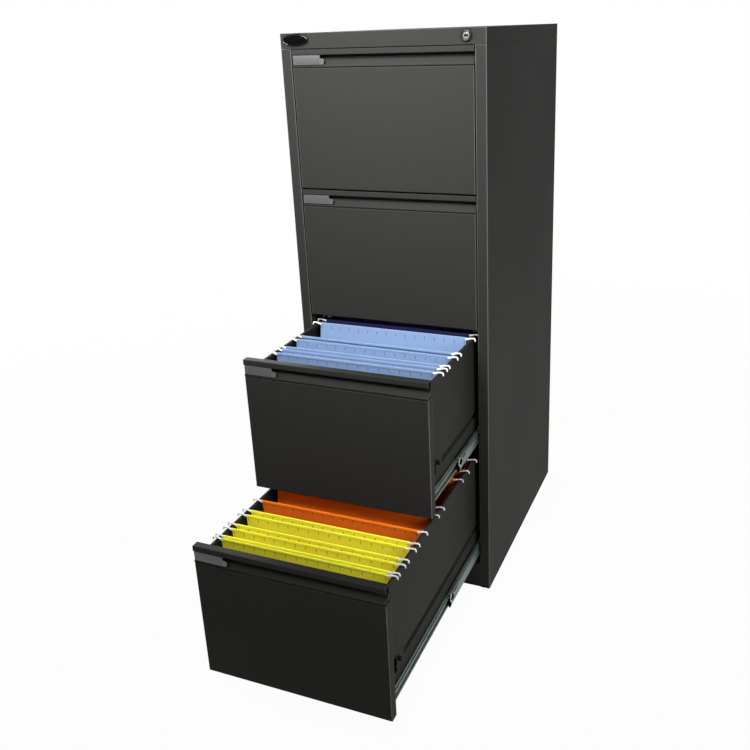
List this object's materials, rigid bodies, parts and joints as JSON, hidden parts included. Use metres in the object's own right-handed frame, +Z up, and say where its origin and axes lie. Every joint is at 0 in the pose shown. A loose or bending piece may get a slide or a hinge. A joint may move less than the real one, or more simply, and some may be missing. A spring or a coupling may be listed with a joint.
{
  "type": "filing cabinet",
  "caption": "Vertical steel filing cabinet with drawers on ball slides, finger-pull fronts, one lock and hanging files in the open drawers.",
  "frame": {"origin": "on the floor at the centre of the cabinet's footprint", "axes": "+Z up, the drawers open towards -Y, +X to the right of someone facing the drawers"},
  "size_m": [0.47, 1.162, 1.32],
  "materials": {
    "cabinet_paint": "graphite powder coat with a fine ripple",
    "front_paint": "graphite powder coat with a fine ripple",
    "drawer_paint": "graphite powder coat, satin",
    "zinc": "bright zinc plate, passivated grey-green",
    "lock_nickel": "nickel plate, polished",
    "nylon": "natural nylon",
    "foot_nylon": "black nylon",
    "badge_gloss": "black enamel, gloss",
    "clear_label": "clear plastic, slightly blue",
    "file_blue": "coloured card, light blue",
    "file_navy": "coloured card, navy",
    "file_yellow": "coloured card, yellow",
    "file_orange": "coloured card, orange",
    "file_bar": "white coated steel ends"
  },
  "bodies": {
    "cabinet": {"side_left": "cabinet_paint", "side_right": "cabinet_paint", "back_panel": "cabinet_paint", "top_cap": "cabinet_paint", "header_rail": "drawer_paint", "base_frame": "drawer_paint", "glides": "foot_nylon", "posts_left": "drawer_paint", "posts_right": "drawer_paint", "slide_outers_left": "zinc", "slide_outers_right": "zinc", "bar_guides": "nylon", "lock_housing": "lock_nickel", "badge": "badge_gloss"},
    "drawer_1": {"drawer1_front": "front_paint", "drawer1_handle": "front_paint", "drawer1_tray": "drawer_paint", "drawer1_sides": "drawer_paint", "drawer1_label_holder": "clear_label", "drawer1_slides_inner": "zinc", "drawer1_catch": "zinc"},
    "mid_left_1": {"drawer1_mid_left": "zinc"},
    "mid_right_1": {"drawer1_mid_right": "zinc"},
    "drawer_2": {"drawer2_front": "front_paint", "drawer2_handle": "front_paint", "drawer2_tray": "drawer_paint", "drawer2_sides": "drawer_paint", "drawer2_label_holder": "clear_label", "drawer2_slides_inner": "zinc", "drawer2_catch": "zinc"},
    "mid_left_2": {"drawer2_mid_left": "zinc"},
    "mid_right_2": {"drawer2_mid_right": "zinc"},
    "drawer_3": {"drawer3_front": "front_paint", "drawer3_handle": "front_paint", "drawer3_tray": "drawer_paint", "drawer3_sides": "drawer_paint", "drawer3_label_holder": "clear_label", "drawer3_slides_inner": "zinc", "drawer3_catch": "zinc", "files_blue": "file_blue", "files_navy": "file_navy", "file_hooks_3": "file_bar"},
    "mid_left_3": {"drawer3_mid_left": "zinc"},
    "mid_right_3": {"drawer3_mid_right": "zinc"},
    "drawer_4": {"drawer4_front": "front_paint", "drawer4_handle": "front_paint", "drawer4_tray": "drawer_paint", "drawer4_sides": "drawer_paint", "drawer4_label_holder": "clear_label", "drawer4_slides_inner": "zinc", "drawer4_catch": "zinc", "files_yellow": "file_yellow", "files_orange": "file_orange", "file_hooks_4": "file_bar"},
    "mid_left_4": {"drawer4_mid_left": "zinc"},
    "mid_right_4": {"drawer4_mid_right": "zinc"},
    "lock_bar": {"lock_bar": "zinc", "lock_fork": "zinc", "lock_stops": "zinc"},
    "lock_plug": {"lock_plug": "lock_nickel"}
  },
  "joints": [
    {"name": "drawer_1_slide", "type": "slide", "parent": "cabinet", "child": "drawer_1", "axis": [0, -1, 0], "range_m": [0, 0.545]},
    {"name": "mid_left_1_slide", "type": "slide", "parent": "cabinet", "child": "mid_left_1", "axis": [0, -1, 0], "range_m": [0, 0.273]},
    {"name": "mid_right_1_slide", "type": "slide", "parent": "cabinet", "child": "mid_right_1", "axis": [0, -1, 0], "range_m": [0, 0.273]},
    {"name": "drawer_2_slide", "type": "slide", "parent": "cabinet", "child": "drawer_2", "axis": [0, -1, 0], "range_m": [0, 0.545]},
    {"name": "mid_left_2_slide", "type": "slide", "parent": "cabinet", "child": "mid_left_2", "axis": [0, -1, 0], "range_m": [0, 0.273]},
    {"name": "mid_right_2_slide", "type": "slide", "parent": "cabinet", "child": "mid_right_2", "axis": [0, -1, 0], "range_m": [0, 0.273]},
    {"name": "drawer_3_slide", "type": "slide", "parent": "cabinet", "child": "drawer_3", "axis": [0, -1, 0], "range_m": [-0.304, 0.241]},
    {"name": "mid_left_3_slide", "type": "slide", "parent": "cabinet", "child": "mid_left_3", "axis": [0, -1, 0], "range_m": [-0.17682, 0.14028]},
    {"name": "mid_right_3_slide", "type": "slide", "parent": "cabinet", "child": "mid_right_3", "axis": [0, -1, 0], "range_m": [-0.17682, 0.14028]},
    {"name": "drawer_4_slide", "type": "slide", "parent": "cabinet", "child": "drawer_4", "axis": [0, -1, 0], "range_m": [-0.542, 0.003]},
    {"name": "mid_left_4_slide", "type": "slide", "parent": "cabinet", "child": "mid_left_4", "axis": [0, -1, 0], "range_m": [-0.24982, 0.00188]},
    {"name": "mid_right_4_slide", "type": "slide", "parent": "cabinet", "child": "mid_right_4", "axis": [0, -1, 0], "range_m": [-0.24982, 0.00188]},
    {"name": "lock_bar_lift", "type": "slide", "parent": "cabinet", "child": "lock_bar", "axis": [0, 0, 1], "range_m": [0, 0.014]},
    {"name": "lock_turn", "type": "hinge", "parent": "cabinet", "child": "lock_plug", "pos_m": [0.193, -0.31, 1.305], "axis": [0, -1, 0], "range_deg": [0, 90]}
  ],
  "couplings": [
    {"joint": "mid_left_1_slide", "follows": "drawer_1_slide", "ratio": 0.5},
    {"joint": "mid_right_1_slide", "follows": "drawer_1_slide", "ratio": 0.5},
    {"joint": "mid_left_2_slide", "follows": "drawer_2_slide", "ratio": 0.5},
    {"joint": "mid_right_2_slide", "follows": "drawer_2_slide", "ratio": 0.5},
    {"joint": "mid_left_3_slide", "follows": "drawer_3_slide", "ratio": 0.58},
    {"joint": "mid_right_3_slide", "follows": "drawer_3_slide", "ratio": 0.58},
    {"joint": "mid_left_4_slide", "follows": "drawer_4_slide", "ratio": 0.46},
    {"joint": "mid_right_4_slide", "follows": "drawer_4_slide", "ratio": 0.46},
    {"joint": "lock_turn", "follows": "lock_bar_lift", "rad_per_m": 112.19}
  ]
}
